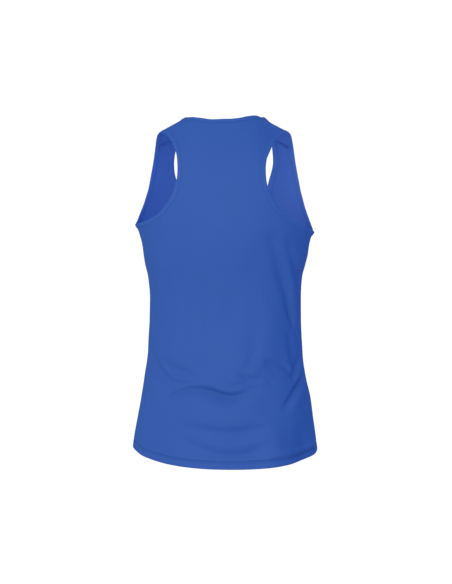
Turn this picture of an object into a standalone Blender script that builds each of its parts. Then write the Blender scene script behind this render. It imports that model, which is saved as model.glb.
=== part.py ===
"""Boxing top: a sleeveless knit vest in its worn form, held open by no wearer.

The scene is in metres and every table here in millimetres. +Z is up, the wearer's front faces -Y
and the wearer's left is +X. The origin is the mount, midway between the inner tops of the straps.

The cloth follows a general figure, charted by two lengths:
  around   mm from the middle of the back to a side seam, + on the left and - on the right, where
           it reaches END; the front counts the same way from its own middle
  girth    mm along the cloth: below 0 down the back, 0 to OVER up the back, over the shoulder and
           down to the chest, past OVER down the front
"""
import bmesh
import bpy
import numpy as np
from math import pi

for old in list(bpy.data.objects):
    bpy.data.objects.remove(old, do_unlink=True)

# ---------------------------------------------------------------- driving sizes, mm
CHEST = -190.0        # height of the level where the shoulder arch springs
OVER = 480.0          # girth from that level at the back, over the shoulder, to it at the front
ARCH_LENGTH = 640.0   # cloth that OVER charts there
ARCH = 2.25           # roundness of the shoulder arch and of the hem's dip
ROUND = 150.0         # `around` for one radian of the section
END = ROUND * pi / 2  # `around` at a side seam
WALL = 1.4            # knit wall
HEM_DEEP = 15.0       # depth of the turned hem
HEM_WALL = 2.4        # wall where the hem is turned up
HEM_STEP = 0.8        # height over which the wall thins again above the hem
BAND = 9.0            # width of a binding
BAND_PROUD = 0.4      # how far a folded binding stands past the wall on each side
FOLD_IN = 0.8         # how far in from its folded edge a binding reaches its thickness
SOFT = 0.1            # how much a binding's corners are drawn in
SEAM = 0.5            # clear gap between pieces that are sewn together

# height, half width left, half width right, depth of the back, of the front, roundness
FIGURE = np.array([
    (-690, 187.0, 188.5, 125.0, 119.0, 2.25),
    (-650, 184.5, 185.5, 122.5, 117.5, 2.25),
    (-620, 181.5, 182.0, 120.0, 116.0, 2.25),
    (-580, 174.5, 176.5, 116.0, 114.0, 2.25),
    (-540, 167.5, 170.4, 111.0, 111.5, 2.25),
    (-500, 161.5, 161.2, 106.0, 109.0, 2.25),
    (-460, 155.0, 155.2, 101.0, 107.0, 2.25),
    (-420, 152.0, 153.0, 97.0, 106.0, 2.25),
    (-385, 149.8, 151.3, 95.0, 106.0, 2.25),
    (-345, 149.2, 151.3, 96.0, 107.0, 2.28),
    (-300, 153.6, 154.4, 100.5, 110.0, 2.30),
    (-276, 159.6, 160.4, 104.0, 112.5, 2.35),
    (-256, 163.0, 165.4, 107.0, 114.5, 2.38),
    (-236, 166.0, 168.5, 109.5, 116.0, 2.40),
    (-219, 170.4, 173.5, 111.0, 116.8, 2.42),
    (-211, 172.8, 179.0, 111.5, 117.0, 2.43),
    (-204, 175.6, 179.3, 111.8, 117.0, 2.44),
    (-197, 179.6, 179.3, 112.0, 117.0, 2.45),
    (CHEST, 180.0, 179.3, 112.0, 117.0, 2.45),
    (0, 180.0, 179.3, 112.0, 117.0, 2.45)])
# top of the shoulder arch: x, height
SHOULDERS = np.array([
    (-180, -75.0), (-150, -30.0), (-136, -18.0), (-129, -13.6), (-107, -1.3), (-87, 10.8),
    (-75, 22.8), (-60, 36.6), (-35, 45.0), (0, 48.0), (35, 44.0), (60, 33.0), (75, 21.5),
    (87, 13.4), (107, 1.8), (129, -11.0), (136, -16.0), (150, -30.0), (180, -75.0)])
# hem: mean height at the side seams, how much the left is higher, dip at the back and at the front
HEM_SIDE, HEM_TILT, HEM_BACK, HEM_FRONT = -638.8, 4.6, 32.0, 26.0
HEM_CURVE = 1.4       # power that keeps the dip level across a side seam

# finished edge of the neck: around, girth; a name marks where a run of the panels' grid ends
NECK = [
    (0, 142.2, ""), (17, 142.7, ""), (30, 146.7, ""), (43, 157, ""), (53, 171, "back corner left"),
    (60, 188, ""), (65, 212, ""), (71.5, 266, ""), (80.2, 330.5, "seam left"), (86, 363, ""),
    (87.5, 383, ""), (84.5, 405, ""), (70.5, 444, "front corner left"), (34, 475, ""),
    (0, 480, ""), (-33, 475, ""), (-64.5, 444, "front corner right"), (-76, 408, ""),
    (-82, 383, ""), (-82, 363, ""), (-78.3, 328, "seam right"), (-72, 270, ""), (-64, 206, ""),
    (-60, 184, ""), (-53, 171, "back corner right"), (-45, 162.5, ""), (-35, 153.7, ""),
    (-25, 147.5, ""), (-12, 143, "")]
# finished edges of the armholes, from the side seam at the back round to it at the front
ARM_LEFT = [
    (END, -5.5, "underarm"), (194, -6, ""), (164, -5, ""), (144, -2, ""), (129, 2, ""),
    (113, 9, ""), (103, 16.5, "back bend"), (88, 32.5, ""), (81.5, 47, ""), (77, 63.5, ""),
    (76.5, 82.5, ""), (78.5, 102, ""), (84, 121.5, "back strap"), (93.5, 151, ""), (106, 191, ""),
    (116, 241, ""), (121, 288, ""), (125.5, 325, "seam"), (133, 365.5, ""), (144.5, 404.5, ""),
    (151, 417, "front strap"), (166, 443, ""), (189.5, 469.5, ""), (209, 481, ""),
    (END, 485.5, "underarm")]
ARM_RIGHT = [
    (-END, -22, "underarm"), (-192, -20.5, ""), (-160, -16, ""), (-141.5, -11, ""),
    (-125, -4.5, ""), (-112, 1.5, ""), (-89, 16, "back bend"), (-74, 32.5, ""), (-67.5, 50, ""),
    (-65.5, 67, ""), (-67, 86.5, ""), (-73, 106, ""), (-80, 128.5, "back strap"),
    (-91, 156.5, ""), (-104.5, 193, ""), (-113, 241, ""), (-119.8, 291, ""), (-124.4, 325, "seam"),
    (-131.2, 368, ""), (-141.8, 406.5, ""), (-146.8, 420, "front strap"), (-159.4, 444.5, ""),
    (-179, 473, ""), (-194.6, 487.5, ""), (-214, 498.5, ""), (-END, 502, "underarm")]

# largest folds: panel, out (+) or in (-), half width, then nodes of (around, height)
FOLDS = [
    ("back", -5.0, 13, [(84, -520), (65, -514), (36, -517), (15, -525), (-3, -529), (-27, -519)]),
    ("back", -4.0, 14, [(182, -440), (158, -462), (132, -477), (98, -499), (69, -508), (36, -511)]),
    ("back", 2.5, 15, [(150, -490), (110, -528), (60, -542), (10, -550), (-30, -545)]),
    ("back", -2.5, 14, [(122, -467), (84, -476), (59, -487), (44, -498)]),
    ("back", 3.0, 17, [(86, -290), (90, -350), (95, -402), (106, -444), (122, -463)]),
    ("back", 2.5, 16, [(98, -226), (118, -280), (138, -318), (156, -352)]),
    ("back", -2.5, 17, [(160, -232), (172, -280), (180, -330), (186, -372)]),
    ("back", -4.5, 16, [(-72, -225), (-95, -268), (-112, -298), (-131, -356), (-146, -410)]),
    ("back", 3.5, 14, [(-91, -222), (-118, -262), (-138, -300), (-150, -335), (-164, -392)]),
    ("back", -4.5, 15, [(-112, -216), (-146, -270), (-171, -317), (-187, -362)]),
    ("back", -3.5, 15, [(-81, -460), (-106, -472), (-132, -484), (-168, -462)]),
    ("back", -3.5, 13, [(-180, -484), (-156, -500), (-134, -512), (-106, -542)]),
    ("back", 3.0, 14, [(-192, -500), (-162, -516), (-136, -530), (-104, -562)]),
    ("back", -3.0, 15, [(-38, -395), (-46, -430), (-48, -455), (-34, -482)]),
    ("back", -2.5, 13, [(-22, -484), (-44, -492), (-64, -486), (-80, -494)]),
    ("back", -2.5, 20, [(62, -588), (2, -592), (-64, -582)]),
    ("back", -2.5, 18, [(64, -616), (9, -634), (-29, -634), (-72, -614)]),
    ("back", -2.0, 16, [(74, -158), (68, -196), (64, -236)]),
    ("back", -1.8, 17, [(-30, -160), (-33, -200), (-30, -250)]),
    ("back", 2.0, 20, [(158, -560), (150, -610), (146, -652)]),
    ("back", 2.0, 20, [(-140, -580), (-136, -620), (-134, -660)]),
    ("front", -4.0, 16, [(172, -236), (146, -286), (128, -340), (122, -396)]),
    ("front", 3.0, 16, [(146, -232), (118, -292), (98, -352), (90, -420)]),
    ("front", -3.0, 18, [(104, -226), (84, -286), (64, -352), (60, -410)]),
    ("front", -4.0, 15, [(-164, -238), (-140, -290), (-118, -344), (-110, -392)]),
    ("front", 3.0, 16, [(-132, -236), (-108, -300), (-92, -360), (-80, -430)]),
    ("front", -2.5, 16, [(-30, -216), (-38, -286), (-34, -352)]),
    ("front", -4.5, 14, [(178, -462), (138, -488), (96, -500), (48, -498), (12, -506)]),
    ("front", 2.5, 15, [(170, -490), (124, -516), (70, -528), (16, -532)]),
    ("front", -4.0, 14, [(-186, -470), (-142, -498), (-98, -520), (-52, -530), (-8, -524)]),
    ("front", -3.0, 14, [(-22, -470), (-54, -480), (-92, -468)]),
    ("front", -2.5, 18, [(84, -580), (24, -594), (-40, -586)]),
    ("front", 2.0, 20, [(120, -570), (114, -620), (116, -650)]),
    ("front", 2.0, 22, [(-100, -560), (-104, -606), (-98, -650)]),
    ("front", -1.8, 16, [(30, -204), (34, -250), (28, -296)])]
SIDE_CALM = 0.75      # share of every fold that dies out at a side seam
SIDE_REACH = 38.0     # how far in from the seam this reaches

# cells of the panels' grid along each run of an edge
SIDE = 12             # underarm to the bend of the back armhole, or to the front strap
STRAP = 4             # across a strap
NECKLINE = 8          # between two corners of the neck
ROWS = 31             # hem to underarm
BACK_MID = 10         # bend of the back armhole to the back strap
BACK_STRAP = 11       # back strap to the shoulder seam
FRONT_STRAP = 9       # front strap to the shoulder seam
COLUMNS = 2 * SIDE + 2 * STRAP + NECKLINE
CROWDING = 1.15       # how much closer the stations stand where an armhole rounds the underarm


# ---------------------------------------------------------------- the figure and its folds
def ease(x, xs, ys):
    """Smooth curve through the points of a table, with no overshoot."""
    step = np.diff(xs)
    rise = np.diff(ys) / step
    slope = np.zeros_like(ys)
    for i in range(1, len(xs) - 1):
        if rise[i - 1] * rise[i] > 0:
            near, far = 2 * step[i] + step[i - 1], step[i] + 2 * step[i - 1]
            slope[i] = (near + far) / (near / rise[i - 1] + far / rise[i])
    slope[0], slope[-1] = rise[0], rise[-1]
    k = np.clip(np.searchsorted(xs, x) - 1, 0, len(xs) - 2)
    t = (x - xs[k]) / step[k]
    return ((2 * t**3 - 3 * t**2 + 1) * ys[k] + (t**3 - 2 * t**2 + t) * step[k] * slope[k]
            + (3 * t**2 - 2 * t**3) * ys[k + 1] + (t**3 - t**2) * step[k] * slope[k + 1])


def rounded(angle, power):
    """Point of a unit rounded section: sideways, and away from the middle."""
    s, c = np.sin(angle), np.cos(angle)
    r = (np.abs(s)**power + np.abs(c)**power)**(-1 / power)
    return r * s, r * c


def figure(around, girth):
    """The plain figure, before folds."""
    around, girth = np.broadcast_arrays(np.asarray(around, float), np.asarray(girth, float))
    level = CHEST + np.minimum(np.minimum(girth, OVER - girth), 0)
    level = np.maximum(level, FIGURE[0, 0])
    left, right, back, front, power = (ease(level, FIGURE[:, 0], FIGURE[:, k])
                                       for k in range(1, 6))
    sideways, away = rounded(around / ROUND, power)
    x = np.where(around >= 0, left, right) * sideways
    rise, lean = rounded(np.clip(girth, 0, OVER) / OVER * pi, ARCH)
    y = np.where(girth > OVER / 2, -front, back) * away * np.abs(lean)
    crown = ease(np.clip(x, SHOULDERS[0, 0], SHOULDERS[-1, 0]), SHOULDERS[:, 0], SHOULDERS[:, 1])
    arch = (girth >= 0) & (girth <= OVER)
    z = np.where(arch, CHEST + (crown - CHEST) * rise, level)
    return np.stack([x, y, z], -1)


def smooth_line(nodes, parts):
    """Line through every node but the first and last, which only lead it in and out."""
    nodes = np.asarray(nodes, float)
    t = np.linspace(0, 1, parts, endpoint=False)[:, None]
    runs = []
    for a, b, c, d in zip(nodes[:-3], nodes[1:-2], nodes[2:-1], nodes[3:]):
        runs.append(b + 0.5 * ((c - a) * t + (2 * a - 5 * b + 4 * c - d) * t**2
                               + (3 * b - a - 3 * c + d) * t**3))
    return np.vstack(runs + [nodes[-2:-1]])


def once_round(around, front):
    """Distance round the body from the middle of the back, through the left side."""
    return np.where(front, 2 * END - around, around)


def fold_line(nodes, front):
    line = np.array(nodes, float)
    line[:, 0] = once_round(line[:, 0], front)
    return smooth_line(np.vstack([2 * line[0] - line[1], line, 2 * line[-1] - line[-2]]), 4)


FOLD_LINES = [(amount, wide, fold_line(nodes, panel == "front"))
              for panel, amount, wide, nodes in FOLDS]


def folds(around, girth):
    """How far the cloth stands out (+) or in (-) from the figure."""
    front = girth > OVER / 2
    height = CHEST + np.where(front, OVER - girth, girth)
    total = np.zeros_like(height)
    for amount, wide, line in FOLD_LINES:
        middle = line[:, 0].mean()
        here = (once_round(around, front) - middle + 2 * END) % (4 * END) - 2 * END + middle
        nearest = np.full(here.shape, np.inf)
        along = np.zeros(here.shape)
        for k, (start, stop) in enumerate(zip(line[:-1], line[1:])):
            run = stop - start
            t = ((here - start[0]) * run[0] + (height - start[1]) * run[1]) / (run @ run)
            t = np.clip(t, 0, 1)
            gap = (here - start[0] - t * run[0])**2 + (height - start[1] - t * run[1])**2
            along = np.where(gap < nearest, (k + t) / (len(line) - 1), along)
            nearest = np.minimum(nearest, gap)
        fade = np.sin(pi * np.clip(along, 0.06, 0.94))**0.7
        total += amount * fade * np.exp(-nearest / wide**2)
    return total * (1 - SIDE_CALM * np.exp(-((END - np.abs(around)) / SIDE_REACH)**2))


def unit(vectors):
    return vectors / np.linalg.norm(vectors, axis=-1, keepdims=True)


def directions(around, girth, surface):
    """How a surface runs as around grows, and as girth grows."""
    step = 0.05
    return ((surface(around + step, girth) - surface(around - step, girth)) / (2 * step),
            (surface(around, girth + step) - surface(around, girth - step)) / (2 * step))


def outward(around, girth, surface):
    across, up = directions(around, girth, surface)
    return unit(np.cross(up, across))


def cloth(around, girth):
    """Outer face of the cloth, folds included."""
    lift = folds(around, girth)[..., None]
    return figure(around, girth) + outward(around, girth, figure) * lift


def hem_girth(around, front):
    dip = np.maximum(rounded(around / ROUND, ARCH)[1], 0)**HEM_CURVE
    height = HEM_SIDE + HEM_TILT * around / END - (HEM_FRONT if front else HEM_BACK) * dip
    return OVER + CHEST - height if front else height - CHEST


# ---------------------------------------------------------------- finished edges
def stations(table, cells, closed):
    """Chart points along each named run of a finished edge, spaced by length on the figure."""
    nodes = np.array([row[:2] for row in table], float)
    marks = [k for k, row in enumerate(table) if row[2]]
    if closed:
        nodes = np.roll(nodes, -marks[0], 0)
        marks = [k - marks[0] for k in marks] + [len(nodes)]
        nodes = np.vstack([nodes[-1], nodes, nodes[:2]])
    else:
        lead_in = (2 * nodes[0, 0] - nodes[1, 0], nodes[1, 1])
        lead_out = (2 * nodes[-1, 0] - nodes[-2, 0], nodes[-2, 1])
        nodes = np.vstack([lead_in, nodes, lead_out])
    parts = 24
    line = smooth_line(nodes, parts)
    runs = []
    for first, last, count in zip(marks[:-1], marks[1:], cells):
        piece = line[first * parts:last * parts + 1]
        hops = np.linalg.norm(np.diff(figure(piece[:, 0], piece[:, 1]), axis=0), axis=1)
        length = np.concatenate([[0], np.cumsum(hops)])
        share = np.linspace(0, 1, count + 1)
        if not closed and first == marks[0]:
            share = share**CROWDING
        elif not closed and last == marks[-1]:
            share = 1 - (1 - share)**CROWDING
        want = share * length[-1]
        runs.append(np.stack([np.interp(want, length, piece[:, k]) for k in (0, 1)], -1))
    return runs


def ring(runs):
    return np.vstack([run[:-1] for run in runs])


def into_cloth(edge):
    """Direction on the figure from a closed edge into the cloth, at each station."""
    place = figure(edge[:, 0], edge[:, 1])
    along = unit(np.roll(place, -1, 0) - np.roll(place, 1, 0))
    arrows = unit(np.cross(outward(edge[:, 0], edge[:, 1], figure), along))
    return arrows * np.sign(np.sum((place - place.mean(0)) * arrows))


def move_in(edge, arrows, distance):
    """Chart points at a distance from the edge, on the cloth."""
    at = edge.copy()
    hops = 4
    for _ in range(hops):
        across, up = directions(at[:, 0], at[:, 1], figure)
        for k in range(len(at)):
            both = np.stack([across[k], up[k]], -1)
            at[k] += np.linalg.lstsq(both, arrows[k] * distance / hops, rcond=None)[0]
    return at


def panel_runs(runs):
    """The runs of an edge moved in to where the panels end, one seam gap past the binding."""
    edge = ring(runs)
    moved = move_in(edge, into_cloth(edge), BAND + SEAM)
    moved = np.vstack([moved, moved[:1]])
    starts = np.cumsum([0] + [len(run) - 1 for run in runs])
    return [moved[a:b + 1].copy() for a, b in zip(starts[:-1], starts[1:])]


def armhole_runs(runs):
    """The same for an armhole, whose two ends are one point of the side seam in two charts."""
    moved = panel_runs(runs)
    depth = FIGURE[-1, 3]
    limit = END - SEAM / 2 * ROUND / depth
    side = np.sign(runs[0][0, 0]) * limit
    moved[0][0, 0] = side
    moved[-1][-1] = (side, runs[-1][-1, 1] + BAND + SEAM)
    for run in (moved[0], moved[-1]):
        run[:, 0] = np.clip(run[:, 0], -limit, limit)
    return moved


# ---------------------------------------------------------------- objects
def linear(hex_colour):
    """Linear values of an sRGB hex colour."""
    parts = [int(hex_colour[k:k + 2], 16) / 255 for k in (1, 3, 5)]
    return [c / 12.92 if c <= 0.04045 else ((c + 0.055) / 1.055)**2.4 for c in parts]


group = bpy.data.collections.new("boxing top")
bpy.context.scene.collection.children.link(group)


def add(name, points, faces, hex_colour):
    mesh = bpy.data.meshes.new(name)
    mesh.from_pydata((points / 1000).tolist(), [], faces)
    node = bpy.data.objects.new(name, mesh)
    group.objects.link(node)
    knit = bpy.data.materials.new(name + " knit")
    knit.use_nodes = True
    shader = knit.node_tree.nodes["Principled BSDF"]
    shader.inputs["Base Color"].default_value = (*linear(hex_colour), 1)
    shader.inputs["Roughness"].default_value = 0.85
    mesh.materials.append(knit)
    return node


def add_binding(name, runs):
    """Folded strip round an opening: one section of seven corners at each station."""
    edge = ring(runs)
    arrows = into_cloth(edge)
    outer = [(BAND, SOFT), (BAND * 0.75, BAND_PROUD), (FOLD_IN, BAND_PROUD - SOFT)]
    section = outer + [(0, -WALL / 2)] + [(depth, -WALL - lift) for depth, lift in outer[::-1]]
    lines = []
    for depth, lift in section:
        around, girth = move_in(edge, arrows, depth).T
        lines.append(cloth(around, girth) + outward(around, girth, cloth) * lift)
    points = np.stack(lines, 1)
    count, corners = points.shape[:2]
    faces = []
    for i in range(count):
        here, there = i * corners, (i + 1) % count * corners
        for k in range(corners):
            m = (k + 1) % corners
            faces.append((here + k, there + k, there + m, here + m))
    strip = add(name, points.reshape(-1, 3), faces, "#385BA7")
    skin = bmesh.new()
    skin.from_mesh(strip.data)
    bmesh.ops.recalc_face_normals(skin, faces=skin.faces)
    skin.to_mesh(strip.data)
    skin.free()


def blend(low, high, start, stop):
    """Grid of chart points between four edge lines."""
    u = np.linspace(0, 1, len(low))[None, :, None]
    v = np.linspace(0, 1, len(start))[:, None, None]
    return ((1 - v) * low[None] + v * high[None] + (1 - u) * start[:, None] + u * stop[:, None]
            - (1 - u) * (1 - v) * low[0] - u * (1 - v) * low[-1]
            - (1 - u) * v * high[0] - u * v * high[-1])


def between(first, last, count):
    return first + (last - first) * np.linspace(0, 1, count + 1)[:, None]


def side_rows(hem, top):
    """Stations up a side seam: hem edge, hem top, a short step, then even rows."""
    up = np.sign(top[1] - hem[1])
    above = hem + (0, up * (HEM_DEEP + HEM_STEP))
    return np.vstack([hem, hem + (0, up * HEM_DEEP), between(above, top, ROWS - 2)])


def add_panel(name, blocks, rows, front):
    """Panel from blocks of (first row, first column, grid), its inside evened out."""
    at = np.zeros((rows + 1, COLUMNS + 1, 2))
    cell = np.zeros((rows, COLUMNS), bool)
    for row, column, grid in blocks:
        high, wide = grid.shape[0] - 1, grid.shape[1] - 1
        at[row:row + high + 1, column:column + wide + 1] = grid
        cell[row:row + high, column:column + wide] = True
    up = -1 if front else 1
    at[1] = at[0] + (0, up * HEM_DEEP)
    at[2] = at[0] + (0, up * (HEM_DEEP + HEM_STEP))
    cells_met = np.zeros(at.shape[:2], int)
    for j in (0, 1):
        for i in (0, 1):
            cells_met[j:j + rows, i:i + COLUMNS] += cell
    free = cells_met == 4
    free[:3] = False
    for _ in range(160):
        mean = np.zeros_like(at)
        mean[1:-1, 1:-1] = (at[:-2, 1:-1] + at[2:, 1:-1] + at[1:-1, :-2] + at[1:-1, 2:]) / 4
        at[free] = mean[free]
    used = cells_met > 0
    number = np.cumsum(used).reshape(used.shape) - 1
    faces = []
    for j, i in zip(*np.nonzero(cell)):
        face = [number[j, i], number[j + 1, i], number[j + 1, i + 1], number[j, i + 1]]
        faces.append([int(k) for k in (face[::-1] if front else face)])
    around, girth = at[used].T
    node = add(name, cloth(around, girth), faces, "#3A5EAB")
    turned = node.vertex_groups.new(name="turned hem")
    turned.add(number[:2].ravel().tolist(), 1, "REPLACE")
    wall = node.modifiers.new("knit wall", "SOLIDIFY")
    wall.thickness = HEM_WALL / 1000
    wall.offset = -1
    wall.vertex_group = turned.name
    wall.thickness_vertex_group = WALL / HEM_WALL


# ---------------------------------------------------------------- the vest
arm_cells = (SIDE, BACK_MID, BACK_STRAP, FRONT_STRAP, SIDE)
neck_cells = (BACK_STRAP, FRONT_STRAP, NECKLINE, FRONT_STRAP, BACK_STRAP, NECKLINE)
neck = stations(NECK, neck_cells, True)
arm_left = stations(ARM_LEFT, arm_cells, False)
arm_right = stations(ARM_RIGHT, arm_cells, False)

strap_neck_left, chest_neck_left, scoop, chest_neck_right, strap_neck_right, nape = panel_runs(neck)
side_left, bend_left, strap_left, chest_left, front_side_left = armhole_runs(arm_left)
side_right, bend_right, strap_right, chest_right, front_side_right = armhole_runs(arm_right)

# each panel stops half a gap short of the shoulder seams
half_gap = (0, SEAM / 2 * OVER / ARCH_LENGTH)
seam_left = between(strap_left[-1], strap_neck_left[-1], STRAP)
seam_right = between(strap_right[-1], strap_neck_right[0], STRAP)

for front in (False, True):
    # every line runs up from the hem, and every row from the right side to the left
    if front:
        sides = front_side_right[::-1], front_side_left[::-1]
        arms = chest_right[::-1], chest_left[::-1]
        necks = chest_neck_right, chest_neck_left[::-1]
        seams = seam_right + half_gap, seam_left + half_gap
        neckline = scoop[::-1]
    else:
        sides = side_right, side_left
        arms = strap_right, strap_left
        necks = strap_neck_right[::-1], strap_neck_left
        seams = seam_right - half_gap, seam_left - half_gap
        neckline = nape
    arms = [np.vstack([arm[:-1], seam[0]]) for arm, seam in zip(arms, seams)]
    necks = [np.vstack([inner[:-1], seam[-1]]) for inner, seam in zip(necks, seams)]
    strap_feet = np.vstack([between(arms[0][0], necks[0][0], STRAP)[:-1], neckline,
                            between(necks[1][0], arms[1][0], STRAP)[1:]])
    shelf = strap_feet if front else between(bend_right[0], bend_left[0], len(strap_feet) - 1)
    top = np.vstack([sides[0][:-1], shelf, sides[1][::-1][1:]])
    half = top[-1, 0]
    spread = np.interp(np.arange(COLUMNS + 1), [0, SIDE, COLUMNS / 2, COLUMNS - SIDE, COLUMNS],
                       [-half, -0.46 * half, 0, 0.46 * half, half])
    hem = np.stack([spread, hem_girth(spread, front)], -1)
    blocks = [(0, 0, blend(hem, top, side_rows(hem[0], top[0]), side_rows(hem[-1], top[-1])))]
    foot_row = ROWS
    if not front:
        blocks.append((ROWS, SIDE, blend(shelf, strap_feet, bend_right, bend_left)))
        foot_row += BACK_MID
    blocks.append((foot_row, SIDE,
                   blend(strap_feet[:STRAP + 1], seams[0], arms[0], necks[0])))
    blocks.append((foot_row, COLUMNS - SIDE - STRAP,
                   blend(strap_feet[-STRAP - 1:], seams[1][::-1], necks[1], arms[1])))
    strap_rows = FRONT_STRAP if front else BACK_STRAP
    add_panel("front" if front else "back", blocks, foot_row + strap_rows, front)

add_binding("neck_binding", neck)
add_binding("armhole_binding_left", arm_left)
add_binding("armhole_binding_right", arm_right)
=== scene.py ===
"""Boxing top: a sleeveless vest of cobalt blue interlock knit, standing in its worn form.

Tables and sizes are in millimetres; meshes are made in metres. +Z is up, the wearer's front
faces -Y and the wearer's left is +X. The sections follow the way the vest is sewn.
"""
from math import pi

import bpy
import numpy as np
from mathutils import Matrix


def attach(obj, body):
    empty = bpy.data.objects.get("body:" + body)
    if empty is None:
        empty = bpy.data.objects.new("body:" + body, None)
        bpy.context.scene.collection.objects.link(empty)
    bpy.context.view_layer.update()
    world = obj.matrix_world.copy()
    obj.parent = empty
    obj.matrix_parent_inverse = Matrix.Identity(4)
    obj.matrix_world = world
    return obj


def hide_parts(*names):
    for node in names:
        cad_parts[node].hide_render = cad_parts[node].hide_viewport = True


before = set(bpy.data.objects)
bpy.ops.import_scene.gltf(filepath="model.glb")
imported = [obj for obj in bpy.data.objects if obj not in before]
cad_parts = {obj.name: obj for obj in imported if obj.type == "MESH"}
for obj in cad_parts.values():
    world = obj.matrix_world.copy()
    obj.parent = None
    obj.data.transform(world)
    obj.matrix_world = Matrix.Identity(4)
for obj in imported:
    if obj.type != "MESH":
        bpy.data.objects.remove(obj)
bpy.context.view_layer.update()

# ----------------------------------------
# Back panel. One piece of smooth polyester interlock, cut in between the shoulder blades and cut
# in a shallow curve at the hem, which is folded up once inside. It hangs from the straps over the
# back, buckles in a few soft creases above the hips, and is drawn down towards the right side.
#
# The cloth follows the figure of the CAD solids, charted by two lengths: `around`, from the middle
# of a panel to its side seams at END (+ on the left), and `girth`, below 0 down the back, 0 to
# OVER over the shoulder and past OVER down the front.
CHEST = -190.0        # height at which an arch over each shoulder takes over from the level figure
OVER = 480.0
ARCH_LENGTH = 640.0   # mm of cloth along that arch
ARCH = 2.25           # power of its superellipse
ROUND = 150.0         # `around` over this is an angle
END = ROUND * pi / 2
KNIT = 0.7            # thickness of the knit
SHINE = 0.025         # share of white light that its smooth yarn gives back, at every angle
UNDER = 6.2           # panel's raw edge, from the finished edge of a binding
TUCK = 0.25           # how far a raw edge sinks under its binding
DITCH = 0.6           # depth of the ditch of a side or shoulder seam
DITCH_WIDE = 1.6

# height, half width left, half width right, depth of the back, of the front, roundness
FIGURE = np.array([
    (-690, 187.0, 188.5, 125.0, 119.0, 2.25), (-650, 184.5, 185.5, 122.5, 117.5, 2.25),
    (-620, 181.5, 182.0, 120.0, 116.0, 2.25), (-580, 174.5, 176.5, 116.0, 114.0, 2.25),
    (-540, 167.5, 170.4, 111.0, 111.5, 2.25), (-500, 161.5, 161.2, 106.0, 109.0, 2.25),
    (-460, 155.0, 155.2, 101.0, 107.0, 2.25), (-420, 152.0, 153.0, 97.0, 106.0, 2.25),
    (-385, 149.8, 151.3, 95.0, 106.0, 2.25), (-345, 149.2, 151.3, 96.0, 107.0, 2.28),
    (-300, 153.6, 154.4, 100.5, 110.0, 2.30), (-276, 159.6, 160.4, 104.0, 112.5, 2.35),
    (-256, 163.0, 165.4, 107.0, 114.5, 2.38), (-236, 166.0, 168.5, 109.5, 116.0, 2.40),
    (-219, 170.4, 173.5, 111.0, 116.8, 2.42), (-211, 172.8, 179.0, 111.5, 117.0, 2.43),
    (-204, 175.6, 179.3, 111.8, 117.0, 2.44), (-197, 179.6, 179.3, 112.0, 117.0, 2.45),
    (CHEST, 180.0, 179.3, 112.0, 117.0, 2.45), (0, 180.0, 179.3, 112.0, 117.0, 2.45)])
# top of the shoulder arch: x, height
SHOULDERS = np.array([
    (-180, -75.0), (-150, -30.0), (-136, -18.0), (-129, -13.6), (-107, -1.3), (-87, 10.8),
    (-75, 22.8), (-60, 36.6), (-35, 45.0), (0, 48.0), (35, 44.0), (60, 33.0), (75, 21.5),
    (87, 13.4), (107, 1.8), (129, -11.0), (136, -16.0), (150, -30.0), (180, -75.0)])
SIDE_SCALE = FIGURE[-1, 3] / ROUND    # mm of cloth to one of `around`, at a side seam
OVER_SCALE = ARCH_LENGTH / OVER       # mm of cloth to one of `girth`, over the shoulder
# hem: mean height at the side seams, how much the left is higher, dip at the back and at the
# front, and the power of its curve
HEM_SIDE, HEM_TILT, HEM_BACK, HEM_FRONT, HEM_CURVE = -638.8, 4.6, 32.0, 26.0, 1.4

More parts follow.
